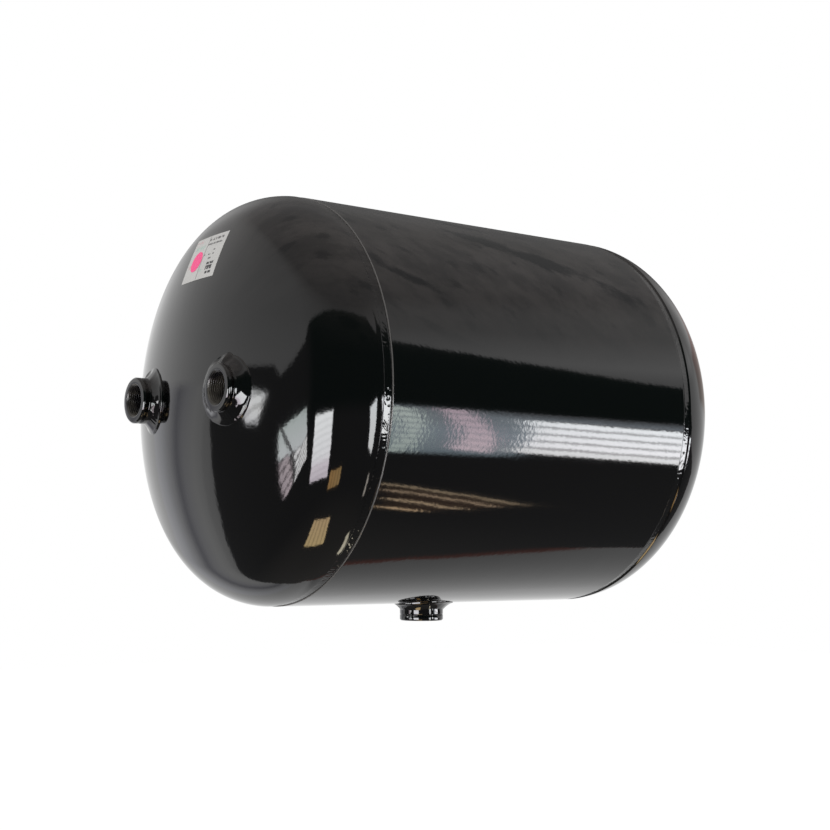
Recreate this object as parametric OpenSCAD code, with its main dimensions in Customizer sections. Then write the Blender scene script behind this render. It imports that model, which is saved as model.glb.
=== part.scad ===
// Air receiver tank for a vehicle's compressed-air brakes: a rolled steel shell
// closed by two dished heads, with two threaded ports on the front head and a
// threaded drain port underneath.
//
// The tank's axis is X. The ported head faces -X and +Z is up. The origin is on
// the tank's axis, halfway between the shell's two cut edges. Left and right are
// as seen by someone who faces the ported head.

/* [Vessel] */
// Outside diameter of the shell and the heads
tank_d = 276; // [206:10:396]
// Length of the rolled sheet between its two cut edges
sheet_len = 252; // [180:1:900]
// Thickness of the shell and head plate
plate_t = 3; // [2:0.5:4]

/* [Dished heads] */
// Crown radius as a share of the outside diameter
crown_share = 0.9; // [0.8:0.01:1]
// Knuckle radius as a share of the outside diameter
knuckle_share = 0.17; // [0.14:0.01:0.18]
// Straight flange between the sheet's edge and the start of the knuckle
flange_len = 2.5; // [1:0.5:4]
// Length of the joggled skirt that slides into the shell
skirt_len = 12; // [8:1:20]

/* [Seam welds] */
// Width of the girth weld, from the sheet's edge to the head's shoulder
girth_w = 7.5; // [5:0.5:10]
// Depth of the girth weld's crown below the shell's surface, at its middle
girth_sink = 0.5; // [0.2:0.1:1]
// Rise of the girth weld's crown above its own edges
girth_rise = 0.6; // [0.3:0.1:0.8]
// Width of the gap between the rolled sheet's two long edges
seam_gap = 2; // [1:0.5:3]
// Height of the long seam's bead above the shell
seam_rise = 0.9; // [0.5:0.1:1.5]
// Angle of the long seam round the shell, from the top towards the back
seam_angle = 45; // [20:5:110]

/* [Bosses] */
// Outside diameter of a weld-on boss
boss_d = 31; // [28:0.5:36]
// Length of a weld-on boss
boss_len = 21; // [18:1:26]
// Minor diameter of the boss's M22 x 1.5 thread
thread_minor_d = 20.38; // [20:0.01:21]
// Diameter of the countersunk mouth
mouth_d = 22.7; // [22:0.1:24]
// Chamfer round the boss's outer rim
rim_chamfer = 1; // [0.5:0.1:1.5]
// Distance of the turned groove from the boss's face
groove_at = 4.2; // [3:0.1:5]
// Distance between the two ports on the front head
port_pitch = 103; // [80:1:120]
// Stand-out of the left port's face from the dome, on the port's axis
left_out = 13.2; // [9:0.1:14]
// Stand-out of the right port's face from the dome, on the port's axis
right_out = 7.4; // [7:0.1:14]
// Stand-out of the drain port's face from the shell
drain_out = 12.2; // [9:0.1:14]
// Distance of the drain port from the middle of the shell, towards the front
drain_shift = 2; // [0:1:20]

/* [Fillet welds] */
// Radius of the toe of a port's fillet weld, measured along the head
toe_r = 23; // [20:0.5:26]
// Height of a fillet weld's leg on the boss
fillet_leg = 4.6; // [3:0.1:5]
// Radius of a fillet weld's hollow face
hollow_r = 11; // [9:0.5:20]

/* [Labels] */
// Width of the rating label on the front head
label_w = 44; // [30:1:60]
// Height of the rating label, measured upright
label_h = 31.4; // [20:0.1:33]
// Height of the label's lower edge above the tank's axis
label_z = 77; // [60:1:78]
// Offset of the label's middle towards the left
label_y = 4; // [-20:1:20]
// Thickness of the label
label_t = 0.3; // [0.1:0.1:0.5]
// Diameter of the round inspection sticker
dot_d = 18; // [10:1:20]
// Thickness of the round inspection sticker
dot_t = 0.2; // [0.1:0.1:0.3]

/* [Hidden] */
$fn = 360;

tank_r = tank_d / 2;
bore_r = tank_r - plate_t;
sheet_end = sheet_len / 2;

// Torispherical head: a crown sphere that runs tangent into a knuckle torus.
crown_r = crown_share * tank_d;
knuckle_r = knuckle_share * tank_d;
knuckle_rho = tank_r - knuckle_r;
knuckle_z = sheet_end + flange_len;
crown_z = knuckle_z - sqrt(pow(crown_r - knuckle_r, 2) - pow(knuckle_rho, 2));
crown_angle = asin(knuckle_rho / (crown_r - knuckle_r));
apex_z = crown_z + crown_r;
far = 2 * tank_d;

// The shoulder is where the head comes back out to the shell's own diameter.
shoulder_z = sheet_end + girth_w;
function knuckle_out(r, z) = knuckle_rho + sqrt(pow(r, 2) - pow(z - knuckle_z, 2));
ramp_z = sheet_end + 1.5;

boss_r = boss_d / 2;
thread_r = thread_minor_d / 2;
mouth_r = mouth_d / 2;
groove_w = 0.8;
groove_t = 0.4;
fillet_inner_r = boss_r - 4;
port_y = port_pitch / 2;
port_tilt = asin(port_y / crown_r);
port_dome_z = crown_z + sqrt(pow(crown_r, 2) - pow(port_y, 2));

dot_y = 11.5;
dot_z = 91;
dot_azimuth = atan2(dot_y, dot_z);
dot_tilt = asin(norm([dot_y, dot_z]) / crown_r);

black_coat = [0.06, 0.06, 0.065];
bare_thread = [0.45, 0.44, 0.42];

// Turns a piece drawn with its axis on +Z so that it faces the front, -X.
// The piece's own +X then points up.
module to_front() { rotate([0, -90, 0]) children(); }

// Turns a piece drawn with its axis on +Z so that it faces the rear, +X.
module to_rear() { rotate([0, 90, 0]) children(); }

// Turns a piece drawn with its axis on +Z so that it faces down.
module to_underside() { translate([-drain_shift, 0, 0]) rotate([180, 0, 0]) children(); }

// Places a child on the axis of a port: side is 1 for the left one, -1 for the right one.
module at_port(side) { translate([0, side * port_y, 0]) children(); }

// The space taken by a boss, from the tank's middle outwards.
module boss_hole() { cylinder(r = boss_r, h = far); }

// ---- Shell ----

// Cross-section of the open joint between the sheet's two long edges
module seam_slot() {
    translate([-seam_gap / 2, bore_r - 1]) square([seam_gap, plate_t + 2]);
}

module sheet_section() {
    difference() {
        circle(r = tank_r);
        circle(r = bore_r);
        seam_slot();
    }
}

// Turns a section drawn with the long seam at the top to the seam's real place.
module along_shell() {
    rotate([-seam_angle, 0, 0]) rotate([90, 0, 90])
        linear_extrude(height = sheet_len, center = true) children();
}

module shell() {
    color(black_coat) difference() {
        along_shell() sheet_section();
        to_underside() boss_hole();
    }
}

// Weld metal that fills the long seam, with a low crown outside
module shell_seam_weld() {
    bead_r = 6;
    color(black_coat) along_shell() {
        intersection() {
            seam_slot();
            difference() {
                circle(r = tank_r);
                circle(r = bore_r);
            }
        }
        difference() {
            translate([0, tank_r + seam_rise - bead_r]) circle(r = bead_r);
            circle(r = tank_r);
        }
    }
}

// ---- Heads ----

// The dish filled in down to its knuckle, with its surface moved in by inset.
// The knuckle stands proud by a hair, so that it crosses the crown cleanly.
module dish_fill(inset) {
    hair = 0.02;
    translate([0, crown_z]) intersection() {
        circle(r = crown_r - inset);
        polygon([[0, 0], far * [sin(crown_angle), cos(crown_angle)], [0, far]]);
    }
    translate([knuckle_rho, knuckle_z]) circle(r = knuckle_r + hair - inset);
}

// The wall of the dish above the knuckle's middle plane
module dish_wall() {
    difference() {
        dish_fill(0);
        dish_fill(plate_t);
        square([2 * tank_d, 2 * (knuckle_z + 1)], center = true);
    }
}

// The skirt's plate before its outside is cut back to fit the shell
module skirt_blank() {
    skirt_z = sheet_end - skirt_len;
    polygon([
        [bore_r - plate_t, skirt_z], [tank_r - 0.5, skirt_z], [tank_r - 0.5, shoulder_z + 1],
        [bore_r, shoulder_z + 1 + plate_t / 2], [bore_r - plate_t, ramp_z - plate_t / 5]
    ]);
}

// Half-section of a head: crown, knuckle, shoulder, ramp and joggled skirt.
// The last piece cut away is the seat of the shell's end and of the girth weld.
module head_section() {
    shoulder_r = knuckle_out(knuckle_r, shoulder_z);
    ramp = [shoulder_r - bore_r, shoulder_z - ramp_z];
    ramp_end = [bore_r, ramp_z] + 2 * ramp;
    difference() {
        union() {
            dish_wall();
            skirt_blank();
        }
        polygon([
            [bore_r, -1], [bore_r, ramp_z], ramp_end, [ramp_end[0], -1]
        ]);
    }
}

module head() { rotate_extrude() head_section(); }

module front_head() {
    color(black_coat) to_front() difference() {
        head();
        at_port(1) boss_hole();
        at_port(-1) boss_hole();
    }
}

module rear_head() {
    color(black_coat) to_rear() head();
}

// Weld bead in the groove between the sheet's edge and the head's shoulder
module girth_weld() {
    half_w = girth_w / 2;
    bead_r = (pow(half_w, 2) + pow(girth_rise, 2)) / (2 * girth_rise);
    rotate_extrude() intersection() {
        polygon([
            [bore_r, sheet_end], [tank_r, sheet_end], [tank_r, shoulder_z],
            [knuckle_out(knuckle_r, shoulder_z), shoulder_z], [bore_r, ramp_z]
        ]);
        translate([tank_r - girth_sink - bead_r, sheet_end + half_w]) circle(r = bead_r);
    }
}

module front_girth_weld() { color(black_coat) to_front() girth_weld(); }

module rear_girth_weld() { color(black_coat) to_rear() girth_weld(); }

// ---- Bosses ----

// A turned boss with its face at z = face_z: chamfered rim, a shallow groove
// round the outside, and a countersunk bore for the thread
module boss(face_z) {
    groove_z = boss_len - groove_at;
    translate([0, 0, face_z - boss_len]) rotate_extrude() polygon([
        [thread_r, 0], [boss_r, 0],
        [boss_r, groove_z - groove_w / 2], [boss_r - groove_t, groove_z],
        [boss_r, groove_z + groove_w / 2], [boss_r, boss_len - rim_chamfer],
        [boss_r - rim_chamfer, boss_len], [mouth_r, boss_len],
        [thread_r, boss_len - (mouth_r - thread_r)]
    ]);
}

module port_boss_left() {
    color(bare_thread) to_front() at_port(1) boss(port_dome_z + left_out);
}

module port_boss_right() {
    color(bare_thread) to_front() at_port(-1) boss(port_dome_z + right_out);
}

module drain_boss() {
    color(bare_thread) to_underside() boss(tank_r + drain_out);
}

// ---- Fillet welds ----

// Half-section of a fillet weld with a hollow face. Its toe lies at height 0.
// The hollow's circle passes through the toe and the top of the leg, and foot
// holds the points of its underside, from the toe inwards.
module fillet_section(foot) {
    top = [boss_r - 1.2, fillet_leg + 0.8];
    toe = [toe_r, 0];
    chord = top - toe;
    reach = sqrt(pow(hollow_r, 2) - pow(norm(chord) / 2, 2));
    hollow = (top + toe) / 2 + reach * [chord[1], -chord[0]] / norm(chord);
    difference() {
        polygon(concat([top, toe], foot, [[fillet_inner_r, top[1]]]));
        translate(hollow) circle(r = hollow_r);
    }
}

// The ring stands square to the dome while the boss runs parallel to the tank's
// axis. Its underside is a shallow cone that rests on the dome.
module port_weld(side) {
    seat_r = (toe_r + boss_r) / 2;
    seat_h = sqrt(pow(crown_r, 2) - pow(seat_r, 2));
    slope = seat_r / seat_h;
    toe_h = seat_h - slope * (toe_r - seat_r);
    color(black_coat) to_front() difference() {
        translate([0, 0, crown_z]) rotate([-side * port_tilt, 0, 0])
            translate([0, 0, toe_h]) rotate_extrude()
                fillet_section([[fillet_inner_r, slope * (toe_r - fillet_inner_r)]]);
        at_port(side) boss_hole();
    }
}

module port_weld_left() { port_weld(1); }

module port_weld_right() { port_weld(-1); }

// The ring straddles the shell, so its toe dips on the two sides that fall away.
module drain_weld() {
    dip = tank_r - sqrt(pow(tank_r, 2) - pow(toe_r, 2));
    skirt = [[toe_r + 2 * dip, -2 * dip], [fillet_inner_r, -2 * dip]];
    color(black_coat) to_underside() difference() {
        translate([0, 0, tank_r - dip / 4]) rotate_extrude() fillet_section(skirt);
        rotate([0, 90, 0]) cylinder(r = tank_r, h = tank_d, center = true);
        boss_hole();
    }
}

// ---- Labels ----

// The skin between two spheres on the front dome, at a height above the plate
module dome_skin(low, high) {
    translate([0, 0, crown_z]) difference() {
        sphere(r = crown_r + high);
        sphere(r = crown_r + low);
    }
}

module rating_label() {
    color("gainsboro") to_front() intersection() {
        dome_skin(0, label_t);
        translate([label_z, label_y - label_w / 2, 0]) cube([label_h, label_w, far]);
    }
}

module inspection_sticker() {
    color("lightpink") to_front() intersection() {
        dome_skin(label_t, label_t + dot_t);
        translate([0, 0, crown_z]) rotate([0, 0, dot_azimuth]) rotate([0, dot_tilt, 0])
            cylinder(d = dot_d, h = far);
    }
}

shell();
shell_seam_weld();
front_head();
rear_head();
front_girth_weld();
rear_girth_weld();
port_boss_left();
port_boss_right();
drain_boss();
port_weld_left();
port_weld_right();
drain_weld();
rating_label();
inspection_sticker();
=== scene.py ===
import math
import bmesh
import bpy
import numpy as np
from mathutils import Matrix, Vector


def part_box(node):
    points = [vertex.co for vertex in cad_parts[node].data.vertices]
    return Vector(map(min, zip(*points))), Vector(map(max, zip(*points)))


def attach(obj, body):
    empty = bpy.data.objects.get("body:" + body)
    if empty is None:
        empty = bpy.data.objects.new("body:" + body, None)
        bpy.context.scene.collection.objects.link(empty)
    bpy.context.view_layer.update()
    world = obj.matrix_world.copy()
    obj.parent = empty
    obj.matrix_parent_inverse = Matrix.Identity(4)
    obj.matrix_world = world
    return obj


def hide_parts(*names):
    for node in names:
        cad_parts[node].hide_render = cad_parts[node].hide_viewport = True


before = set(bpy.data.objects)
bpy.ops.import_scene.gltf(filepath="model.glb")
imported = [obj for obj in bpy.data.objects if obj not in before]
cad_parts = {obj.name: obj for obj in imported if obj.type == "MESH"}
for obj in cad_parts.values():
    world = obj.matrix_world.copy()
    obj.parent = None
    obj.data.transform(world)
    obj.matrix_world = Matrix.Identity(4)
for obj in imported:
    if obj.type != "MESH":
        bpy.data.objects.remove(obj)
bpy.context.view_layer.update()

# ---- Camera ----
# A long lens stands in front of the ported head, to its right and a little below the tank's axis.
# It looks slightly upwards, so the drain boss shows below the shell.
camera_at = (-0.6451, -0.8633, -0.1016)
heading, upward_tilt = 0.6360, 0.0917
lens = bpy.data.cameras.new("lens")
lens.lens = 64.6
lens.sensor_width = 36.0
lens.clip_end = 100.0
camera = bpy.data.objects.new("camera", lens)
camera.location = camera_at
camera.rotation_euler = (math.pi / 2 + upward_tilt, 0.0, -heading)
bpy.context.scene.collection.objects.link(camera)
bpy.context.scene.camera = camera

# ---- Shell ----
# Steel sheet, 3 mm thick, rolled into a tube and cut square at both ends. Its rims stand a little proud
# of the girth welds. It carries the gloss black powder coat that covers the whole tank.
mm = 0.001
shell_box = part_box("shell")
tank_r = shell_box[1][2]
half_sheet = shell_box[1][0]
plate = 3 * mm
rim_round = 0.45 * mm
drain_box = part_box("drain_boss")
boss_r = (drain_box[1][1] - drain_box[0][1]) / 2
drain_x = (drain_box[0][0] + drain_box[1][0]) / 2
turn_steps = 360


class Signal:
    """One output of a shader node, so that a finish can be written as sums and products."""

    def __init__(self, finish, socket):
        self.finish = finish
        self.socket = socket

    def maths(self, operation, *inputs):
        return self.finish.node("ShaderNodeMath", {"operation": operation}, dict(enumerate(inputs)))

    def __add__(self, other):
        return self.maths("ADD", self, other)

    def __radd__(self, other):
        return self.maths("ADD", other, self)

    def __sub__(self, other):
        return self.maths("SUBTRACT", self, other)

    def __rsub__(self, other):
        return self.maths("SUBTRACT", other, self)

    def __mul__(self, other):
        return self.maths("MULTIPLY", self, other)

    def __rmul__(self, other):
        return self.maths("MULTIPLY", other, self)

    def __truediv__(self, other):
        return self.maths("DIVIDE", self, other)

    def __rtruediv__(self, other):
        return self.maths("DIVIDE", other, self)

    def __pow__(self, other):
        return self.maths("POWER", self, other)

    def __rpow__(self, other):
        return self.maths("POWER", other, self)

    def __abs__(self):
        return self.maths("ABSOLUTE", self)


class Finish:
    """A material in the making: its nodes are added one by one, and its surface is set last."""

    def __init__(self, name):
        self.material = bpy.data.materials.new(name)
        self.material.use_nodes = True
        self.tree = self.material.node_tree
        self.tree.nodes.clear()
        self.output = self.tree.nodes.new("ShaderNodeOutputMaterial")

    def node(self, kind, settings, inputs, output=0):
        made = self.tree.nodes.new(kind)
        for name, value in settings.items():
            if name == "stops":
                lay_stops(made.color_ramp, value)
            else:
                setattr(made, name, value)
        for name, value in inputs.items():
            if isinstance(value, Signal):
                self.tree.links.new(value.socket, made.inputs[name])
            else:
                made.inputs[name].default_value = value
        return Signal(self, made.outputs[output])

    def surface(self, shader):
        self.tree.links.new(shader.socket, self.output.inputs["Surface"])
        return self.material


def lay_stops(ramp, stops):
    while len(ramp.elements) > 1:
        ramp.elements.remove(ramp.elements[-1])
    ramp.elements[0].position = stops[0][0]
    ramp.elements[0].color = stops[0][1]
    for position, color in stops[1:]:
        ramp.elements.new(position).color = color


def fade(finish, value, low, high):
    """Rises smoothly from 0 to 1 while a value goes from low to high."""
    return finish.node("ShaderNodeMapRange", {"interpolation_type": "SMOOTHSTEP"},
                       {"Value": value, "From Min": low, "From Max": high})


def blend(finish, factor, first, second):
    """A colour that goes from the first to the second while the factor goes from 0 to 1."""
    inputs = {"Factor": factor, "A": first, "B": second}
    return finish.node("ShaderNodeMix", {"data_type": "RGBA"}, inputs, 2)


def along_axis(finish, vector, axis):
    """One of a vector's three parts."""
    return finish.node("ShaderNodeSeparateXYZ", {}, {0: vector}, axis)


def skin(name, rows, around=True, along=False, caps=False, crease=30):
    """A mesh of quads through rows of points. around closes each row, along joins the last row to the
    first, caps fills the first and the last row, and crease is the angle from which an edge is sharp."""
    rows = np.asarray(rows, dtype=float)
    deep, wide = rows.shape[:2]
    index = np.arange(deep * wide).reshape(deep, wide)
    ends = [index[0][::-1].tolist(), index[-1].tolist()] if caps else []
    if around:
        index = np.concatenate([index, index[:, :1]], axis=1)
    if along:
        index = np.concatenate([index, index[:1]], axis=0)
    quads = np.stack([index[:-1, :-1], index[:-1, 1:], index[1:, 1:], index[1:, :-1]], axis=-1)
    mesh = bpy.data.meshes.new(name)
    mesh.from_pydata(rows.reshape(-1, 3).tolist(), [], quads.reshape(-1, 4).tolist() + ends)
    if along or caps:
        body = bmesh.new()
        body.from_mesh(mesh)
        bmesh.ops.recalc_face_normals(body, faces=body.faces)
        body.to_mesh(mesh)
        body.free()
    mesh.shade_smooth()
    mesh.set_sharp_from_angle(angle=math.radians(crease))
    piece = bpy.data.objects.new(name, mesh)
    bpy.context.scene.collection.objects.link(piece)
    return piece


def lathe(name, outline):
    """Turns a closed outline of (distance along X, radius) points round the tank's axis."""
    turn = np.linspace(0, 2 * math.pi, turn_steps, endpoint=False)
    rows = [
        np.stack([np.full(turn_steps, x), r * np.cos(turn), r * np.sin(turn)], axis=-1)
        for x, r in outline
    ]
    return skin(name, rows, along=True)


def corner(x, r, from_side, to_side, radius, steps=4):
    """A rounded corner of an outline at (x, r), between two unit directions that lead away from it."""
    points = []
    for share in np.linspace(0, 1, steps):
        bend = math.pi / 2 * share
        a = 1 - math.sin(bend)
        b = 1 - math.cos(bend)
        points.append((
            x + radius * (a * from_side[0] + b * to_side[0]),
            r + radius * (a * from_side[1] + b * to_side[1]),
        ))
    return points


def drill(piece, spot, radius, axis):
    """Cuts a round hole through a piece, centred on a spot, along X or Z."""
    steps = 96
    half_long = 30 * mm
    turn = np.linspace(0, 2 * math.pi, steps, endpoint=False)
    ring = np.stack([radius * np.cos(turn), radius * np.sin(turn), np.zeros(steps)], axis=-1)
    reach = np.array([0, 0, half_long])
    if axis == "X":
        ring = ring[:, [2, 0, 1]]
        reach = np.array([half_long, 0, 0])
    ring = ring + np.array(spot)
    mesh = bpy.data.meshes.new("drill")
    side = [(i, (i + 1) % steps, (i + 1) % steps + steps, i + steps) for i in range(steps)]
    caps = [tuple(reversed(range(steps))), tuple(range(steps, 2 * steps))]
    mesh.from_pydata(np.concatenate([ring - reach, ring + reach]).tolist(), [], side + caps)
    bit = bpy.data.objects.new("drill", mesh)
    bpy.context.scene.collection.objects.link(bit)
    cut = piece.modifiers.new("drill", "BOOLEAN")
    cut.operation = "DIFFERENCE"
    cut.solver = "EXACT"
    cut.object = bit
    drilled = bpy.data.meshes.new_from_object(piece.evaluated_get(bpy.context.evaluated_depsgraph_get()))
    piece.modifiers.clear()
    piece.data = drilled
    bpy.data.objects.remove(bit)


# Where the dust was wiped off: place along X and round the tank, half length and half width, in metres.
wipe_marks = (
    (0.030, 0.0950, 0.066, 0.0085),
    (-0.100, 0.1830, 0.020, 0.0045),
    (-0.060, 0.2150, 0.050, 0.0050),
    (-0.020, 0.0700, 0.020, 0.0035),
)


def black_coat(name, wear_and_highlight_at_rim=False):
    """Gloss black powder coat over steel: orange peel, slow waves of the sheet, and a film of dust that
    lies on the upper side, thinned by drops and wiped off in slanting smears. With the second argument set,
    the sheet's front rim is painted lighter grey and rougher: the coat worn thin there, and a painted
    highlight."""
    coat = Finish(name)
    place = coat.node("ShaderNodeTexCoord", {}, {}, "Object")
    x, y, z = (along_axis(coat, place, axis) for axis in "XYZ")
    facing = along_axis(coat, coat.node("ShaderNodeTexCoord", {}, {}, "Normal"), "Z")
    slant = y.maths("ARCTAN2", 0 - y, z) * tank_r - x * 0.4
    hand_strokes = coat.node("ShaderNodeCombineXYZ", {}, {"X": x * 24.0, "Y": slant * 32.0})
    smears = coat.node("ShaderNodeTexNoise", {}, {
        "Vector": hand_strokes, "Scale": 1.0, "Detail": 8.0, "Roughness": 0.68})
    film = fade(coat, smears, 0.38, 0.62) * 0.5 + 0.5
    for at, across, half_long, half_wide in wipe_marks:
        off = abs((x - at) / half_long) ** 2 + abs((slant - across) / half_wide) ** 2
        film = film * (fade(coat, off + (smears - 0.5) * 6.0, 0.2, 1.5) * 0.9 + 0.1)
    drops = coat.node("ShaderNodeCombineXYZ", {}, {"X": x * 42.0, "Y": slant * 46.0})
    spots = coat.node("ShaderNodeTexVoronoi", {"voronoi_dimensions": "2D"}, {"Vector": drops, "Scale": 1.0})
    between_drops = fade(coat, spots + (smears - 0.47) * 1.5, 0.03, 0.22)
    film = film * (between_drops * 0.5 + 0.5) * fade(coat, facing, 0.1, 0.7)
    color = blend(coat, film, (0.0013, 0.0013, 0.0014, 1), (0.035, 0.031, 0.029, 1))
    rough = film * 0.06 + 0.055
    # The front rim's lighter grey is worn coat and also a painted highlight along the rim.
    if wear_and_highlight_at_rim:
        rim_wear_and_painted_highlight = fade(coat, 0 - x, half_sheet - 0.75 * mm, half_sheet - 0.3 * mm)
        color = blend(coat, rim_wear_and_painted_highlight, color, (0.11, 0.104, 0.100, 1))
        rough = rough + rim_wear_and_painted_highlight * 0.25
    peel = coat.node("ShaderNodeTexNoise", {}, {"Vector": place, "Scale": 420.0, "Detail": 1.0})
    waves = coat.node("ShaderNodeTexNoise", {}, {"Vector": place, "Scale": 36.0, "Detail": 1.0})
    relief = coat.node("ShaderNodeBump", {}, {
        "Height": peel * 0.7 + waves * 3.0, "Strength": 1.0, "Distance": 0.02 * mm})
    shader = coat.node("ShaderNodeBsdfPrincipled", {}, {
        "Base Color": color,
        "Roughness": rough,
        "IOR": 1.5,
        "Normal": relief,
    })
    return coat.surface(shader)


gloss_black = black_coat("gloss_black_powder_coat")
# The rolled sheet's coat, with its front rim painted lighter: worn coat and a painted highlight.
sheet_black = black_coat("gloss_black_coat_on_rolled_sheet", wear_and_highlight_at_rim=True)


def fit(piece, node, finish):
    """Dresses a piece in its finish, lets it ride on the tank and puts it in its CAD node's place."""
    piece.data.materials.clear()
    piece.data.materials.append(finish)
    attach(piece, "root")
    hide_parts(node)


run_end = half_sheet - 2 * rim_round
outer_run = [(x, tank_r) for x in np.linspace(-run_end, run_end, 25)]
inner_run = [(x, tank_r - plate) for x in np.linspace(run_end, -run_end, 9)]
sheet_outline = (
    corner(-half_sheet, tank_r, (0, -1), (1, 0), rim_round)
    + outer_run
    + corner(half_sheet, tank_r, (-1, 0), (0, -1), rim_round)
    + corner(half_sheet, tank_r - plate, (0, 1), (-1, 0), rim_round)
    + inner_run
    + corner(-half_sheet, tank_r - plate, (1, 0), (0, 1), rim_round)
)
shell = lathe("shell_sheet", sheet_outline)
drill(shell, (drain_x, 0, -tank_r), boss_r, "Z")
fit(shell, "shell", sheet_black)

# ---- Long seam weld ----
# The rolled sheet's two long edges are joined from outside by one machine-laid bead of steel. It runs
# along the upper back of the shell and is coated with it.
seam_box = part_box("shell_seam_weld")
seam_turn = math.atan2(seam_box[0][2] + seam_box[1][2], seam_box[0][1] + seam_box[1][1])
seam_height = 0.85 * mm
seam_half_width = 3.2 * mm
seam_sink = 0.15 * mm
seam_root_r = tank_r - 1.2 * mm


def wander(along, pace, seed):
    """A slow uneven drift between about -1 and 1, as a welder's hand or a wire feed gives."""
    drift = np.sin(along * pace + seed)
    drift = drift + 0.6 * np.sin(along * pace * 2.37 + 1.7 * seed)
    return (drift + 0.4 * np.sin(along * pace * 5.13 + 2.9 * seed)) / 1.6


def ripples(along, across, pitch, bow):
    """Crescent waves of a frozen weld pool, from 0 to 1. bow is how far each trails behind at its sides."""
    phase = along / pitch + bow * across ** 2
    return 0.5 + 0.5 * np.cos(2 * math.pi * phase)


seam_along = np.linspace(-half_sheet + 0.2 * mm, half_sheet - 0.2 * mm, 700)[:, None]
seam_across = np.linspace(-1, 1, 13)[None, :]
seam_crown = np.sqrt(np.clip(1 - seam_across ** 2, 0, 1)) ** 1.4 * seam_height
seam_lift = seam_crown * (0.88 + 0.12 * ripples(seam_along, seam_across, 1.9 * mm, 0.8))
seam_lift = seam_lift - seam_sink
seam_side = seam_across * seam_half_width * (1 + 0.06 * wander(seam_along, 160, 0.4))
seam_spin = seam_turn + seam_side / tank_r
seam_r = tank_r + seam_lift
seam_rows = np.stack([
    seam_along + 0 * seam_across, seam_r * np.cos(seam_spin), seam_r * np.sin(seam_spin)
], axis=-1)
seam_root = np.stack([
    seam_along,
    seam_root_r * np.cos(seam_turn) + 0 * seam_along,
    seam_root_r * np.sin(seam_turn) + 0 * seam_along,
], axis=-1)
seam = skin("long_seam_bead", np.concatenate([seam_rows, seam_root], axis=1), caps=True, crease=60)
fit(seam, "shell_seam_weld", gloss_black)

# ---- Heads ----
# Two steel discs pressed into dishes: a wide crown that runs into a tight knuckle. The skirt of each is
# joggled inwards, slides into the shell and backs the girth weld. The front one has two bored holes.
head_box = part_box("front_head")
crown_r = 0.9 * 2 * tank_r
knuckle_r = 0.17 * 2 * tank_r
knuckle_rho = tank_r - knuckle_r
knuckle_x = half_sheet + 2.5 * mm
apex_x = -head_box[0][0]
crown_x = apex_x - crown_r
crown_angle = math.asin(knuckle_rho / (crown_r - knuckle_r))
skirt_x = half_sheet - 12 * mm
shoulder_x = half_sheet + 6.6 * mm
port_half_pitch = 51.5 * mm


def dish(inset, first_x):
    """The dish's outline from the shoulder to its middle, moved in by inset."""
    start = math.asin((first_x - knuckle_x) / (knuckle_r - inset))
    points = []
    for bend in np.linspace(start, math.pi / 2 - crown_angle, 40):
        points.append((
            knuckle_x + (knuckle_r - inset) * math.sin(bend),
            knuckle_rho + (knuckle_r - inset) * math.cos(bend),
        ))
    for bend in np.linspace(crown_angle, 0.0004, 60)[1:]:
        points.append((crown_x + (crown_r - inset) * math.cos(bend), (crown_r - inset) * math.sin(bend)))
    return points


skirt_r = tank_r - plate - 0.1 * mm
head_outline = (
    [(skirt_x, skirt_r), (half_sheet - 2 * mm, skirt_r), (half_sheet + 1.5 * mm, tank_r - plate)]
    + [(shoulder_x - 1.2 * mm, tank_r - 1.15 * mm), (shoulder_x - 0.35 * mm, tank_r - 0.55 * mm)]
    + dish(0, shoulder_x)
    + dish(plate, knuckle_x + 6 * mm)[::-1]
    + [(half_sheet + 2 * mm, tank_r - 2 * plate), (skirt_x, tank_r - 2 * plate)]
)


def mirrored(outline):
    return [(-x, r) for x, r in reversed(outline)]


front_head = lathe("front_dished_head", mirrored(head_outline))
for side in (1, -1):
    drill(front_head, (-apex_x, side * port_half_pitch, 0), boss_r, "X")
fit(front_head, "front_head", gloss_black)
rear_head = lathe("rear_dished_head", head_outline)
fit(rear_head, "rear_head", gloss_black)

# ---- Girth welds ----
# One bead of weld metal runs round the tank at each end and fills the groove between the sheet's rim and
# the head's shoulder. It lies just below the sheet's surface: flat, uneven, pitted here and there, and
# coated with the rest.
girth_steps = 2600
girth_pitch = 2.3 * mm
girth_depth = 2.2 * mm
pit_count = 260


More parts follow.
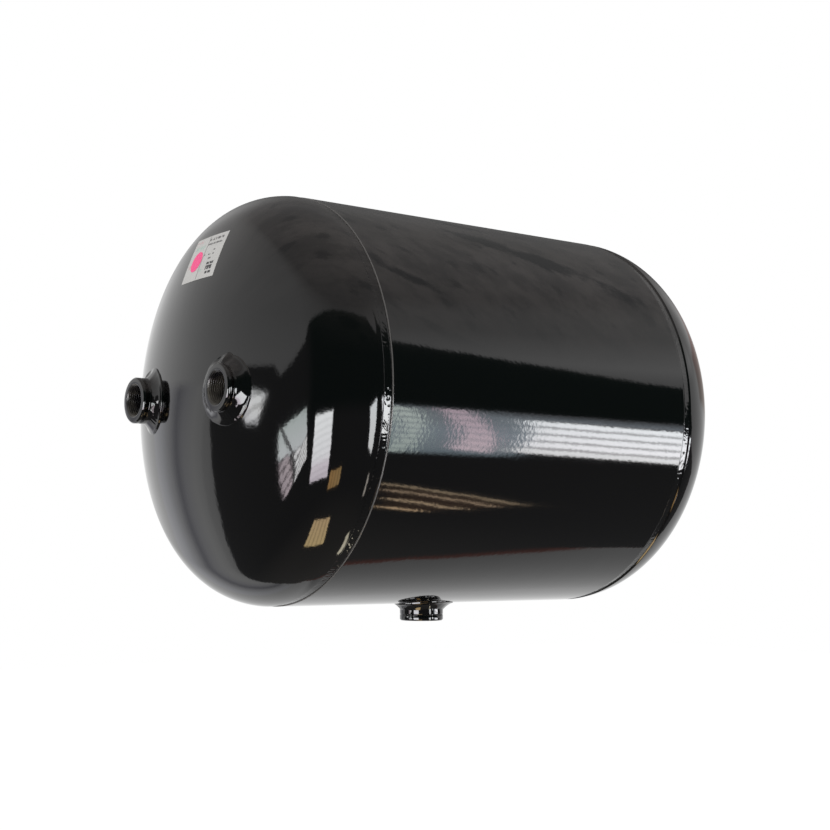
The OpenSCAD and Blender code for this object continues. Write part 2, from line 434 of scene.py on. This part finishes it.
def girth_bead(name, node, outward, seed):
    """One bead. across runs from -1 at the sheet's rim to 1 at the head's shoulder, and outward is the
    side of the tank that it lies on."""
    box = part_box(node)
    near = min(abs(box[0][0]), abs(box[1][0]))
    far = max(abs(box[0][0]), abs(box[1][0])) + 0.6 * mm
    top_r = box[1][2]
    count = round(2 * math.pi * top_r / girth_pitch)
    turn = np.linspace(0, 2 * math.pi, girth_steps, endpoint=False)[None, :]
    across = np.linspace(-1, 1, 21)[:, None]
    wave = ripples(turn * count / (2 * math.pi), across, 1.0, 0.55)
    body = np.clip(1 - across ** 2, 0, 1) ** 0.5
    at_rim = np.clip(-across - 0.7, 0, 1) ** 2
    at_shoulder = np.clip(across - 0.6, 0, 1) ** 2
    fall = 0.27 * (1 + across) + 3 * at_rim + 4.5 * at_shoulder
    r = top_r - fall * mm
    r = r - (0.02 + 0.02 * wander(turn, 17, seed)) * mm * wave * body
    patches = wander(turn, 37, seed + 1) * wander(across * 2 + turn * 60, 1, seed + 3)
    r = r - (0.08 + 0.05 * patches) * mm * body
    pits = np.random.default_rng(round(seed * 10))
    for _ in range(pit_count):
        pit_turn, pit_across = pits.uniform(0, 2 * math.pi), pits.uniform(-0.7, 0.8)
        pit_wide, pit_deep = pits.uniform(0.45, 0.9) * mm, pits.uniform(0.03, 0.11) * mm
        gap = (turn - pit_turn + math.pi) % (2 * math.pi) - math.pi
        away = (gap * top_r) ** 2 + ((across - pit_across) * (far - near) / 2) ** 2
        r = r - pit_deep * np.exp(-away / pit_wide ** 2)
    x = (near + far) / 2 + across * ((far - near) / 2 + 0.12 * mm * wander(turn, 31, seed + 2))
    x = np.clip(x, near - 0.2 * mm, far + 0.3 * mm)
    rows = np.stack([outward * x + 0 * turn, r * np.cos(turn), r * np.sin(turn)], axis=-1)
    round_y = (top_r - girth_depth) * np.cos(turn[0])
    round_z = (top_r - girth_depth) * np.sin(turn[0])
    root = [
        np.stack([np.full(girth_steps, outward * root_x), round_y, round_z], axis=-1)
        for root_x in (far - 1.5 * mm, near + 0.5 * mm)
    ]
    bead = skin(name, np.concatenate([rows, root]), along=True, crease=60)
    fit(bead, node, gloss_black)


girth_bead("front_girth_bead", "front_girth_weld", -1, 0.3)
girth_bead("rear_girth_bead", "rear_girth_weld", 1, 2.1)

# ---- Threaded bosses ----
# Three turned steel rings, bored and tapped M22 x 1.5, each with a chamfered rim, a countersunk mouth and
# a shallow groove round the outside. They are pushed through the plate and welded in before coating.
minor_r, major_r, thread_pitch = 10.19 * mm, 11.0 * mm, 1.5 * mm
mouth_r, boss_length, row_step = 11.35 * mm, 21 * mm, 0.125 * mm
rim_chamfer, groove_at, groove_half, groove_deep = 0.8 * mm, 4.3 * mm, 0.38 * mm, 0.30 * mm


def boss_rows():
    """A boss with its face at 0 and its body towards +X, as rows of points round its axis."""
    steps = 192
    turn = np.linspace(0, 2 * math.pi, steps, endpoint=False)
    rows = []
    for depth in np.arange(boss_length, 0.02 * mm, -row_step):
        phase = (depth / thread_pitch + turn / (2 * math.pi)) % 1.0
        cut = np.clip((np.abs(2 * phase - 1) - 0.25) / 0.625, 0, 1)
        r = minor_r + (major_r - minor_r) * cut
        r = np.maximum(r, mouth_r - depth)
        rows.append((depth, r))
    groove_top, groove_end = groove_at - groove_half, groove_at + groove_half
    outside = (
        (0.05 * mm, mouth_r + 0.02 * mm),
        (0, mouth_r + 0.2 * mm),
        (0, mouth_r + 0.6 * mm),
        (0, boss_r - rim_chamfer - 0.15 * mm),
        (0.04 * mm, boss_r - rim_chamfer),
        (rim_chamfer - 0.04 * mm, boss_r - 0.07 * mm),
        (rim_chamfer + 0.12 * mm, boss_r),
        (groove_top - 0.12 * mm, boss_r),
        (groove_top, boss_r - 0.05 * mm),
        (groove_at - 0.1 * mm, boss_r - groove_deep),
        (groove_at + 0.1 * mm, boss_r - groove_deep),
        (groove_end, boss_r - 0.05 * mm),
        (groove_end + 0.12 * mm, boss_r),
        (boss_length - 0.5 * mm, boss_r),
        (boss_length, boss_r - 0.5 * mm),
    )
    for depth, r in outside:
        rows.append((depth, np.full(steps, r)))
    return [np.stack([np.full(steps, d), r * np.cos(turn), r * np.sin(turn)], axis=-1) for d, r in rows]


def boss(name, node, turned):
    """A boss in its node's place, with its face towards -X or, turned to Z, towards -Z."""
    lo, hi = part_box(node)
    rows = np.array(boss_rows())
    if turned == "X":
        rows = rows + np.array([lo[0], (lo[1] + hi[1]) / 2, (lo[2] + hi[2]) / 2])
    else:
        rows = rows[:, :, [1, 2, 0]] + np.array([(lo[0] + hi[0]) / 2, (lo[1] + hi[1]) / 2, lo[2]])
    piece = skin(name, rows, along=True, crease=28)
    fit(piece, node, gloss_black)
    piece.data.materials.append(cut_thread)
    bore_rows = int(boss_length / row_step)
    bore_faces = np.arange(len(piece.data.polygons)) < (bore_rows - 1) * rows.shape[1]
    piece.data.polygons.foreach_set("material_index", bore_faces.astype(np.int32))


thread_steel = Finish("oiled_cut_thread")
thread_place = thread_steel.node("ShaderNodeTexCoord", {}, {}, "Object")
thread_stain = thread_steel.node("ShaderNodeTexNoise", {}, {
    "Vector": thread_place, "Scale": 70.0, "Detail": 2.0})
thread_color = blend(thread_steel, fade(thread_steel, thread_stain, 0.35, 0.65),
                     (0.008, 0.007, 0.009, 1), (0.07, 0.062, 0.05, 1))
cut_thread = thread_steel.surface(thread_steel.node("ShaderNodeBsdfPrincipled", {}, {
    "Base Color": thread_color,
    "Roughness": fade(thread_steel, thread_stain, 0.3, 0.7) * 0.15 + 0.25,
}))
boss("left_port_boss", "port_boss_left", "X")
boss("right_port_boss", "port_boss_right", "X")
boss("drain_boss_ring", "drain_boss", "Z")

# ---- Fillet welds ----
# Each boss is welded to the plate from outside by hand, in one pass round it. The bead is smooth under its
# coat and hollow, with a sharp toe, a few ripples on one side, and a lump where the pass starts and stops.
weld_leg = 4.2 * mm
root_gap = 0.3 * mm
root_depth = 1.5 * mm
fillet_steps = 540
fillet_ripples = 46


def fillet_rows(toe, lean, lean_turn, start_turn, seed):
    """Radius and height above the plate of a fillet weld, over the turn round its boss. Its toe leans out
    by lean towards lean_turn, and the pass starts and stops at start_turn. Two last rows lie below the
    plate's face, so that the bead closes on itself."""
    turn = np.linspace(0, 2 * math.pi, fillet_steps, endpoint=False)[None, :]
    run = np.concatenate([np.linspace(0, 0.94, 26), np.linspace(0.955, 1.0, 7)])[:, None]
    gap = (turn - start_turn + math.pi) % (2 * math.pi) - math.pi
    lump = np.exp(-(gap / 0.15) ** 2)
    notch = np.exp(-((gap + 0.42) / 0.22) ** 2)
    toe_r = toe + lean * np.cos(turn - lean_turn) + 0.3 * mm * wander(turn, 4, seed) + 1.4 * mm * lump
    rho = boss_r - root_gap + (toe_r - boss_r + root_gap) * run
    toe_step = (0.75 + 0.25 * np.cos(turn - 3.7)) * mm
    hollow = (1 - run / 0.97).clip(0, 1) ** 1.6
    lift = (weld_leg + 0.3 * mm * wander(turn, 3, seed + 1)) * hollow + toe_step * (1 - run ** 40)
    body = np.sin(math.pi * np.clip(run * 1.02, 0, 1)) ** 0.7
    crater = np.exp(-((gap - 2.75) / 0.2) ** 2)
    wave = ripples(turn * fillet_ripples / (2 * math.pi), 2 * run - 0.9, 1.0, 0.35)
    lift = lift + 0.20 * crater * mm * wave * body
    lift = lift + 1.6 * mm * lump * body - 1.0 * mm * notch * body
    rho = np.concatenate([rho, rho[-1:], rho[:1]])
    lift = np.concatenate([lift, 0 * lift[:2] - root_depth])
    return turn, rho, lift


def dome_x(y, z):
    """How far out the front head's crown lies at a place on it."""
    return -(crown_x + np.sqrt(crown_r ** 2 - y ** 2 - z ** 2))


def port_fillet(name, node, side, toe, lean, lean_turn, start_turn, seed):
    turn, rho, lift = fillet_rows(toe, lean, lean_turn, start_turn, seed)
    y = side * port_half_pitch + rho * np.cos(turn)
    z = rho * np.sin(turn)
    rows = np.stack([dome_x(y, z) - lift, y, z], axis=-1)
    fit(skin(name, rows, along=True, crease=50), node, gloss_black)


def drain_fillet(name, node, toe, lean, lean_turn, start_turn, seed):
    turn, rho, lift = fillet_rows(toe, lean, lean_turn, start_turn, seed)
    x = rho * np.cos(turn)
    y = rho * np.sin(turn)
    z = -np.sqrt(tank_r ** 2 - y ** 2) - lift
    rows = np.stack([drain_x + x, y, z], axis=-1)
    fit(skin(name, rows, along=True, crease=50), node, gloss_black)


port_fillet("left_port_fillet", "port_weld_left", 1, 22.4 * mm, 1.9 * mm, 3.1, 1.24, 1.3)
port_fillet("right_port_fillet", "port_weld_right", -1, 22.6 * mm, 1.5 * mm, 5.4, 1.62, 4.1)
drain_fillet("drain_fillet", "drain_weld", 21.5 * mm, 1.6 * mm, 0.1, 0.1, 2.2)

# ---- Rating label ----
# A small sheet of satin film stuck to the upper part of the ported head. It follows the dome. A ruled line
# divides it, and rows of plain dashes and a dark block stand where a form would be filled in.
label_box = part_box("rating_label")
film_lift = 0.16 * mm
glue_sink = 0.05 * mm
label_y, label_z = np.meshgrid(np.linspace(label_box[0][1], label_box[1][1], 60),
                               np.linspace(label_box[0][2], label_box[1][2], 44))
label_top = np.stack([dome_x(label_y, label_z) - film_lift, label_y, label_z], axis=-1)
label_under = np.stack([dome_x(label_y, label_z) + glue_sink, label_y, label_z], axis=-1)
label = skin("rating_label_film", np.concatenate([label_top, label_under[:, ::-1]], axis=1), caps=True)
paper = Finish("printed_label_film")
paper_place = paper.node("ShaderNodeTexCoord", {}, {}, "Object")
across_label = along_axis(paper, paper_place, "Y")
up_label = along_axis(paper, paper_place, "Z")


def printed(left, right, low, high, dash=0.0, seed=0.0, soft=0.12 * mm):
    """Ink between two sides and two heights, in metres on the label, broken into uneven dashes."""
    ink = fade(paper, across_label, right - soft, right + soft)
    ink = ink * (1 - fade(paper, across_label, left - soft, left + soft))
    ink = ink * fade(paper, up_label, low - soft, low + soft)
    ink = ink * (1 - fade(paper, up_label, high - soft, high + soft))
    if dash:
        line = paper.node("ShaderNodeCombineXYZ", {}, {"X": across_label, "Y": up_label * 0.3 + seed})
        beat = paper.node("ShaderNodeTexNoise", {"noise_dimensions": "2D"},
                          {"Vector": line, "Scale": 1 / dash, "Detail": 1.0})
        ink = ink * fade(paper, beat, 0.40, 0.46)
    return ink


divider = printed(5.1 * mm, 4.2 * mm, 77.6 * mm, 107.6 * mm)
rows_of_dashes = (
    printed(4.4 * mm, 2.2 * mm, 104.5 * mm, 106.0 * mm)
    + printed(0.8 * mm, -13.8 * mm, 104.4 * mm, 106.2 * mm, 1.5 * mm, 0.1)
    + printed(4.4 * mm, -14.4 * mm, 101.3 * mm, 102.6 * mm, 1.3 * mm, 0.5)
    + printed(4.0 * mm, 2.6 * mm, 93.9 * mm, 95.0 * mm)
    + printed(-1.6 * mm, -4.4 * mm, 93.6 * mm, 94.6 * mm, 1.4 * mm, 0.9)
    + printed(-7.2 * mm, -9.4 * mm, 93.6 * mm, 94.6 * mm, 1.4 * mm, 1.3)
    + printed(-6.6 * mm, -9.0 * mm, 96.5 * mm, 97.4 * mm, 1.4 * mm, 1.7)
    + printed(-3.4 * mm, -7.0 * mm, 90.6 * mm, 91.7 * mm, 1.4 * mm, 2.1)
)
dark_block = (
    printed(-4.0 * mm, -12.8 * mm, 86.6 * mm, 88.4 * mm, 2.2 * mm, 3.1)
    + printed(-4.4 * mm, -12.8 * mm, 82.9 * mm, 85.9 * mm, 2.4 * mm, 3.9)
    + printed(-4.2 * mm, -13.0 * mm, 80.0 * mm, 81.8 * mm, 3.4 * mm, 4.4)
)
faint_rose = printed(24.0 * mm, 12.0 * mm, 104.8 * mm, 106.6 * mm, 2.5 * mm, 5.2)
faint_rose = faint_rose + printed(24.0 * mm, 19.6 * mm, 86.6 * mm, 90.0 * mm, 2.5 * mm, 5.9)
faint_green = printed(22.0 * mm, 7.0 * mm, 99.8 * mm, 102.4 * mm, 3.0 * mm, 6.3)
faint_green = faint_green + printed(3.6 * mm, 0.2 * mm, 82.6 * mm, 84.6 * mm, 3.0 * mm, 6.9)
paper_tone = paper.node("ShaderNodeTexNoise", {}, {"Vector": paper_place, "Scale": 90.0})
paper_color = blend(paper, paper_tone, (0.47, 0.46, 0.44, 1), (0.53, 0.52, 0.505, 1))
inks = (
    (faint_rose * 0.8, (0.52, 0.33, 0.34, 1)),
    (faint_green * 0.7, (0.32, 0.47, 0.40, 1)),
    (divider * 0.75, (0.13, 0.12, 0.12, 1)),
    (rows_of_dashes * 0.95, (0.09, 0.085, 0.085, 1)),
    (dark_block, (0.03, 0.028, 0.03, 1)),
)
for cover, tone in inks:
    paper_color = blend(paper, cover, paper_color, tone)
paper_shader = paper.node("ShaderNodeBsdfPrincipled", {}, {"Base Color": paper_color, "Roughness": 0.42})
fit(label, "rating_label", paper.surface(paper_shader))

# ---- Inspection sticker ----
# A round dot of matt pink paper with glue on its back, stuck by hand on the label's left half. It follows
# the dome under the label, and nothing is written on it.
dot_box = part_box("inspection_sticker")
dot_r = (dot_box[1][1] - dot_box[0][1]) / 2 - 1.9 * mm
dot_y = (dot_box[0][1] + dot_box[1][1]) / 2 + 1.0 * mm
dot_z = (dot_box[0][2] + dot_box[1][2]) / 2
dot_turn = np.linspace(0, 2 * math.pi, 96, endpoint=False)[None, :]
dot_rho = np.concatenate([np.linspace(0.01, 1, 20), np.linspace(1, 0.01, 3)])[:, None] * dot_r
dot_lift = np.repeat([0.30 * mm, 0.10 * mm], [20, 3])[:, None]
spot_y = dot_y + dot_rho * np.cos(dot_turn)
spot_z = dot_z + dot_rho * np.sin(dot_turn)
dot_rows = np.stack([dome_x(spot_y, spot_z) - dot_lift, spot_y, spot_z], axis=-1)
dot = skin("inspection_dot", dot_rows, caps=True)
pink = Finish("pink_paper")
pink_place = pink.node("ShaderNodeTexCoord", {}, {}, "Object")
pink_tone = pink.node("ShaderNodeTexNoise", {}, {"Vector": pink_place, "Scale": 160.0, "Detail": 3.0})
pink_color = blend(pink, pink_tone, (0.90, 0.035, 0.21, 1), (0.96, 0.075, 0.28, 1))
pink_shader = pink.node("ShaderNodeBsdfPrincipled", {}, {"Base Color": pink_color, "Roughness": 0.5})
fit(dot, "inspection_sticker", pink.surface(pink_shader))

# ---- Studio ----
# The tank hangs over a plain pale floor in an even white surround. Dark drapes and slatted windows stand
# far off on the camera's side; only gloss shows them, so they draw the coat's form and add no light.
world = bpy.data.worlds.new("white_surround")
bpy.context.scene.world = world
world.use_nodes = True
background = world.node_tree.nodes["Background"]
background.inputs["Color"].default_value = (1, 1, 1, 1)
background.inputs["Strength"].default_value = 1.0
bpy.context.scene.view_settings.view_transform = "Standard"

floor_reach, floor_z = 9, -0.9
floor_rows = [[(x, y, floor_z) for x in (-floor_reach, floor_reach)] for y in (-floor_reach, floor_reach)]
floor = skin("pale_floor", floor_rows, around=False)
floor_paint = Finish("white_floor_paint")
floor_light = floor_paint.node("ShaderNodeEmission", {}, {"Color": (1, 1, 1, 1), "Strength": 0.14})
floor_matt = floor_paint.node("ShaderNodeBsdfDiffuse", {}, {"Color": (0.9, 0.9, 0.9, 1)})
floor_both = floor_paint.node("ShaderNodeAddShader", {}, {0: floor_light, 1: floor_matt})
floor.data.materials.append(floor_paint.surface(floor_both))
floor.visible_glossy = False

drape_distance, window_distance = 32.0, 30.0


def look(azimuth, elevation, distance):
    """A point far off. Azimuth 0 is along +Y and 90 along +X, both angles in degrees."""
    a, e = np.radians(azimuth), np.radians(elevation)
    return distance * np.stack([np.sin(a) * np.cos(e), np.cos(a) * np.cos(e), np.sin(e)], axis=-1)


def hang(name, azimuths, elevations, distance, finish):
    """Hangs a curved sheet in the surround. Its UV runs from 0 to 1 along and up the sheet."""
    sheet = skin(name, look(azimuths, elevations, distance), around=False)
    high, wide = azimuths.shape
    grid = sheet.data.uv_layers.new(name="sheet")
    spots = np.array([loop.vertex_index for loop in sheet.data.loops])
    uv = np.stack([(spots % wide) / (wide - 1), (spots // wide) / (high - 1)], axis=-1)
    grid.data.foreach_set("uv", uv.astype(np.float32).ravel())
    sheet.data.materials.append(finish)
    for sight in ("camera", "diffuse", "transmission", "volume_scatter", "shadow"):
        setattr(sheet, "visible_" + sight, False)


def on_sheet(finish, axis):
    """The place on a hung sheet, from 0 to 1: X is along it and Y up it."""
    return along_axis(finish, finish.node("ShaderNodeUVMap", {"uv_map": "sheet"}, {}), axis)


def glowing(finish, cover, color, strength=1.0):
    """A sheet that glows where cover is 1 and is clear where it is 0."""
    glow = finish.node("ShaderNodeEmission", {}, {"Color": color, "Strength": strength})
    clear = finish.node("ShaderNodeBsdfTransparent", {}, {})
    return finish.surface(finish.node("ShaderNodeMixShader", {}, {0: cover, 1: clear, 2: glow}))


def graded(finish, place, stops):
    """A colour that runs through stops of (place, colour), and the strength that it has to be lit with."""
    peak = max(max(tone) for _, tone in stops)
    ramp = [(spot, (*(part / peak for part in tone), 1)) for spot, tone in stops]
    return finish.node("ShaderNodeValToRGB", {"stops": ramp}, {0: place}), peak


def grey(value):
    return (value, value, value)


# The drape's upper rim, as azimuth and elevation. Below it, down to the floor, everything is dark.
rim = np.array([
    (-180, 41), (-165, 42.5), (-147, 42.5), (-130, 41), (-115, 37), (-100, 31), (-91, 26.5), (-85, 21),
    (-80, 13), (-76, 9), (-73, 12), (-60, 12), (-57, 8.5), (-46, 4), (-44.5, -5), (-42, -12), (-38.5, -19),
    (-36, -22), (-25, -38), (-17, -48.5), (-10, -56), (5, -62), (35, -63.5), (50, -57.5), (62, -54.5),
    (67, -53.2), (74, -52.3), (82, -49.5), (89, -46.5), (91.5, -22), (95, -12), (108, -10), (118, -7),
    (122, 5), (128, 11), (133, 15), (138, 22), (142, 28), (150, 33), (153.5, 36), (155, 44), (157, 35),
    (160, 31), (166, 35), (172, 40), (180, 41),
])
drape_az = np.linspace(-180, 180, 1081)
drape_top = np.interp(drape_az, rim[:, 0], rim[:, 1])
drape_v = np.linspace(0, 1, 80)[:, None]
drape = Finish("dark_drape")
drape_up = on_sheet(drape, "Y")
drape_place = drape.node("ShaderNodeTexCoord", {}, {}, "Object")
drape_x, drape_y, drape_z = (along_axis(drape, drape_place, axis) / drape_distance for axis in "XYZ")
in_green = fade(drape, drape_z, -0.22, 0.0) * (1 - fade(drape, drape_y, -0.15, 0.17))
far_down = fade(drape, 0 - drape_z, 0.70, 0.98)
drape_tone = blend(drape, far_down, (0.125, 0.125, 0.128, 1), (0.215, 0.205, 0.195, 1))
drape_tone = blend(drape, in_green, drape_tone, (0.040, 0.063, 0.057, 1))
in_rust = fade(drape, drape_up, 0.93, 0.985) * fade(drape, drape_x, 0.1, 0.45)
in_rust = in_rust * fade(drape, 0 - drape_z, 0.55, 0.7)
drape_tone = blend(drape, in_rust, drape_tone, (0.42, 0.17, 0.14, 1))
drape_rows = -90 + (drape_top[None, :] + 90) * drape_v
hang("dark_drape", drape_az[None, :] + 0 * drape_v, drape_rows, drape_distance,
     glowing(drape, 1 - fade(drape, drape_up, 0.985, 1.0), drape_tone))

ceiling_az, ceiling_el = np.meshgrid(np.linspace(-180, 180, 181), np.linspace(10, 90, 60))
ceiling = Finish("grey_ceiling")
ceiling_up = on_sheet(ceiling, "Y")
ceiling_stops = (
    (0.0, grey(1)), (0.10, grey(0.92)), (0.19, grey(0.80)), (0.25, grey(0.75)), (0.325, grey(0.64)),
    (0.375, grey(0.50)), (0.44, (0.30, 0.30, 0.305)), (0.65, (0.27, 0.27, 0.275)), (1.0, grey(0.32)),
)
ceiling_tone, ceiling_strength = graded(ceiling, ceiling_up, ceiling_stops)
hang("grey_ceiling", ceiling_az, ceiling_el, drape_distance + 1,
     glowing(ceiling, fade(ceiling, ceiling_up, 0.0, 0.1), ceiling_tone, ceiling_strength))


def window(name, corners, stops, run="up", slats=0, slat_depth=0.6, tilt=0.0, sides=0.06, ends=0.06,
           behind=0.0, straight=False, upright=False):
    """A sheet given by its four corners from the upper left round, as azimuth and elevation. Its tone runs
    through stops across or up it, slats cut dark lines in it, level or upright, and it is soft at its
    sides and ends. behind hangs it further off than the windows, and straight draws its edges straight."""
    (al, el), (ar, er), (br, fr), (bl, fl) = corners
    u, v = np.meshgrid(np.linspace(0, 1, 25), np.linspace(0, 1, 25))
    azimuths = (al * (1 - u) + ar * u) * v + (bl * (1 - u) + br * u) * (1 - v)
    elevations = (el * (1 - u) + er * u) * v + (fl * (1 - u) + fr * u) * (1 - v)
    if straight:
        spots = [look(azimuth, elevation, 1) for azimuth, elevation in corners]
        upper = spots[0] * (1 - u[..., None]) + spots[1] * u[..., None]
        lower = spots[3] * (1 - u[..., None]) + spots[2] * u[..., None]
        aim = upper * v[..., None] + lower * (1 - v[..., None])
        azimuths = np.degrees(np.arctan2(aim[..., 0], aim[..., 1]))
        elevations = np.degrees(np.arctan2(aim[..., 2], np.hypot(aim[..., 0], aim[..., 1])))
    glass = Finish(name)
    across = on_sheet(glass, "X")
    up = on_sheet(glass, "Y")
    cover = fade(glass, across, 0.0, sides) * fade(glass, 1 - across, 0.0, sides)
    cover = cover * fade(glass, up, 0.0, ends) * fade(glass, 1 - up, 0.0, ends)
    if slats:
        angle = (across if upright else up + across * tilt) * (2 * math.pi * slats)
        wave = (angle.maths("COSINE", angle) + 1) / 2
        cover = cover * (1 - wave ** 3 * slat_depth)
    tone, strength = graded(glass, up if run == "up" else across, stops)
    hang(name, azimuths, elevations, window_distance + behind, glowing(glass, cover, tone, strength))


def evenly(first, last):
    """The stops of a tone that goes evenly from one colour to another."""
    return ((0.0, first), (1.0, last))


# Walls and roof, further off than the windows. The rafters and the rust wall hang just in front of the
# drape, and the pale ones behind it, where it leaves them free.
wall_stops = (
    (0.0, grey(1.12)), (0.16, grey(1.12)), (0.33, (0.84, 0.84, 0.88)), (0.46, (0.50, 0.50, 0.55)),
    (0.6, (0.84, 0.84, 0.87)), (0.78, (1.04, 1.05, 1.10)), (1.0, (1.06, 1.06, 1.10)),
)
window("pale_wall", ((-47, 9), (-7, 9), (20, -63), (-13, -60)), wall_stops, "across",
       sides=0.03, ends=0.04, behind=2.6)
rafter_stops = (
    (0.0, grey(0.02)), (0.06, grey(0.03)), (0.21, grey(0.12)), (0.42, grey(0.15)), (0.54, grey(0.19)),
    (0.75, grey(0.21)), (1.0, grey(0.30)),
)
window("dark_rafters", ((-4, 56), (100, 60), (66, 8), (14, 8)), rafter_stops,
       sides=0.34, ends=0.14, behind=1.2)
card_stops = (
    (0.0, grey(1.25)), (0.25, grey(1.25)), (0.42, grey(0.98)), (0.62, grey(0.68)), (1.0, grey(0.45)),
)
window("pale_card", ((98, 44), (152, 44), (152, 12), (102, 14)), card_stops,
       sides=0.12, ends=0.25, behind=2.6)
rust_stops = ((0.0, (0.66, 0.60, 0.56)), (0.5, (0.55, 0.46, 0.43)), (1.0, (0.62, 0.42, 0.40)))
window("rust_wall", ((55, 20), (98, 21), (96, 6), (58, 2)), rust_stops,
       sides=0.2, ends=0.2, behind=1.0)

# The windows that the ported head shows: a tall one, and one with slats and a mullion beside it.
tall_stops = (
    (0.0, (10.5, 9.5, 10.5)), (0.25, (12.5, 11.5, 12.5)), (0.38, (15, 15, 15.5)), (1.0, (16.5, 16.8, 17)),
)
window("tall_window", ((-128.5, -6), (-100.5, -5), (-101, -32.5), (-128, -38)), tall_stops,
       slats=10, slat_depth=0.16, tilt=0.05, sides=0.03, ends=0.03)
window("far_window", ((-86.5, -0.5), (-75, -6), (-72.3, -14), (-90, -9)),
       evenly((9.2, 9.6, 9.8), (7.4, 8.2, 8.0)), sides=0.05, ends=0.03)
far_stops = (
    (0.0, grey(14.5)), (0.58, grey(13.5)), (0.62, grey(0.9)), (0.68, grey(0.9)), (0.72, (8.0, 6.9, 7.3)),
    (1.0, (6.5, 5.6, 6.0)),
)
window("far_window_slats", ((-90, -9), (-72.3, -14), (-69.3, -24), (-93.5, -18)), far_stops, "across",
       slats=4, slat_depth=1.0, tilt=0.9, sides=0.04, ends=0.03)
window("far_mullion", ((-76.0, -4), (-74.6, -4), (-78.2, -12.6), (-79.8, -12.4)),
       evenly(grey(0.6), grey(0.6)), sides=0.3, ends=0.1, behind=-0.5)
side_stops = ((0.0, (9.5, 9.6, 10)), (0.5, grey(11)), (1.0, (11, 11.3, 11.5)))
window("side_window", ((-73, 5), (-56, 8), (-61.5, -4), (-67, -4.5)), side_stops,
       slats=3, slat_depth=0.4, tilt=0.5, sides=0.2, ends=0.25)

# The row of windows with blinds that makes the band along the shell.
blind_stops = ((0.0, grey(12.5)), (0.3, (16, 16, 16.5)), (1.0, (15.5, 16, 16.5)))
window("blind_window", ((119, -6.2), (139.9, -5.2), (137.2, -20.8), (117, -19.5)), blind_stops,
       slats=5, slat_depth=0.62, sides=0.03)
window("blind_head_rail", ((128, -2.2), (142.5, -2.5), (142, -5.6), (126, -5.4)),
       evenly((2.4, 2.7, 3.0), grey(0.3)), sides=0.2, ends=0.05, behind=0.3)
window("pink_blind", ((143.2, -3), (142.2, -2.5), (137.3, -22.5), (139.4, -20.8)),
       evenly((10.5, 8.4, 9.2), (8.5, 6.6, 7.6)), slats=7, slat_depth=0.4, sides=0.12)
window("green_blind", ((145.4, -3.5), (144.2, -3.5), (140.4, -24.5), (141.7, -24.8)),
       evenly((6.5, 7.6, 7.0), (8.5, 9.6, 9)), slats=9, slat_depth=0.55, sides=0.15)
gap_stops = ((0.0, (2.0, 2.5, 2.8)), (0.5, (2.8, 3.4, 3.9)), (1.0, (1.8, 2.1, 2.3)))
window("blind_gaps", ((148, -2), (139, -2), (135.6, -23.5), (144, -26.2)), gap_stops,
       sides=0.1, ends=0.12, behind=0.4)
window("corner_window", ((151.5, 1), (158.7, 0), (154, -19.5), (150.5, -18)),
       evenly(grey(17), (18, 18.5, 19)), sides=0.1, ends=0.1)
window("door_window", ((165.5, 0), (177, -6), (171, -27), (162.5, -30)),
       evenly(grey(12), (13, 13.5, 14)), sides=0.08, ends=0.08)
window("low_window", ((155.5, -37), (158.5, -37.5), (151, -50), (147.5, -49)),
       evenly((5, 4.5, 4), (5, 4.6, 4.2)), sides=0.15, ends=0.15)

# Warm light: a lamp, sun that falls in strips, and sunlit and dim parts of the floor.
window("amber_lamp", ((-151, -35), (-132, -35), (-130, -45), (-151, -46)),
       evenly((4.6, 3.0, 1.3), (4.8, 2.8, 1.1)), "across",
       slats=4, slat_depth=0.35, sides=0.08, ends=0.08, straight=True, upright=True)
sun_strips = (
    (0.09, (11, 7.8, 4.8)), (0.40, (10, 7.4, 4.8)), (0.72, (7.6, 5.6, 3.8)), (0.95, (7.0, 5.4, 3.6)),
)
strip_half = 0.04
strip_stops = [(0.0, (0.5, 0.35, 0.25))]
for strip_at, strip_tone in sun_strips:
    strip_stops.append((strip_at - strip_half, (0.3, 0.2, 0.15)))
    strip_stops.append((strip_at, strip_tone))
    strip_stops.append((strip_at + strip_half, (0.35, 0.22, 0.16)))
window("amber_strips", ((120, -41), (136, -37), (123, -47.6), (119.5, -47.6)), strip_stops,
       sides=0.12, ends=0.02)
window("sunlit_floor", ((-113, -57.5), (-150, -63.5), (-168, -82.5), (-84, -70.5)),
       evenly((7.0, 5.2, 2.6), (7.6, 5.4, 3.0)),
       slats=5, slat_depth=0.35, sides=0.06, ends=0.06, straight=True, upright=True)
dim_stops = ((0.0, grey(0.50)), (0.35, grey(0.62)), (0.7, grey(0.80)), (1.0, grey(0.97)))
window("dim_floor", ((28, -28), (98, -34), (92, -58), (38, -62)), dim_stops, sides=0.14, behind=2.6)
window("sunlit_strip", ((84, -65.5), (126, -63.5), (124, -67), (88, -69)),
       evenly((6, 5.4, 4.2), (6.5, 6.0, 4.6)), sides=0.1, ends=0.2)
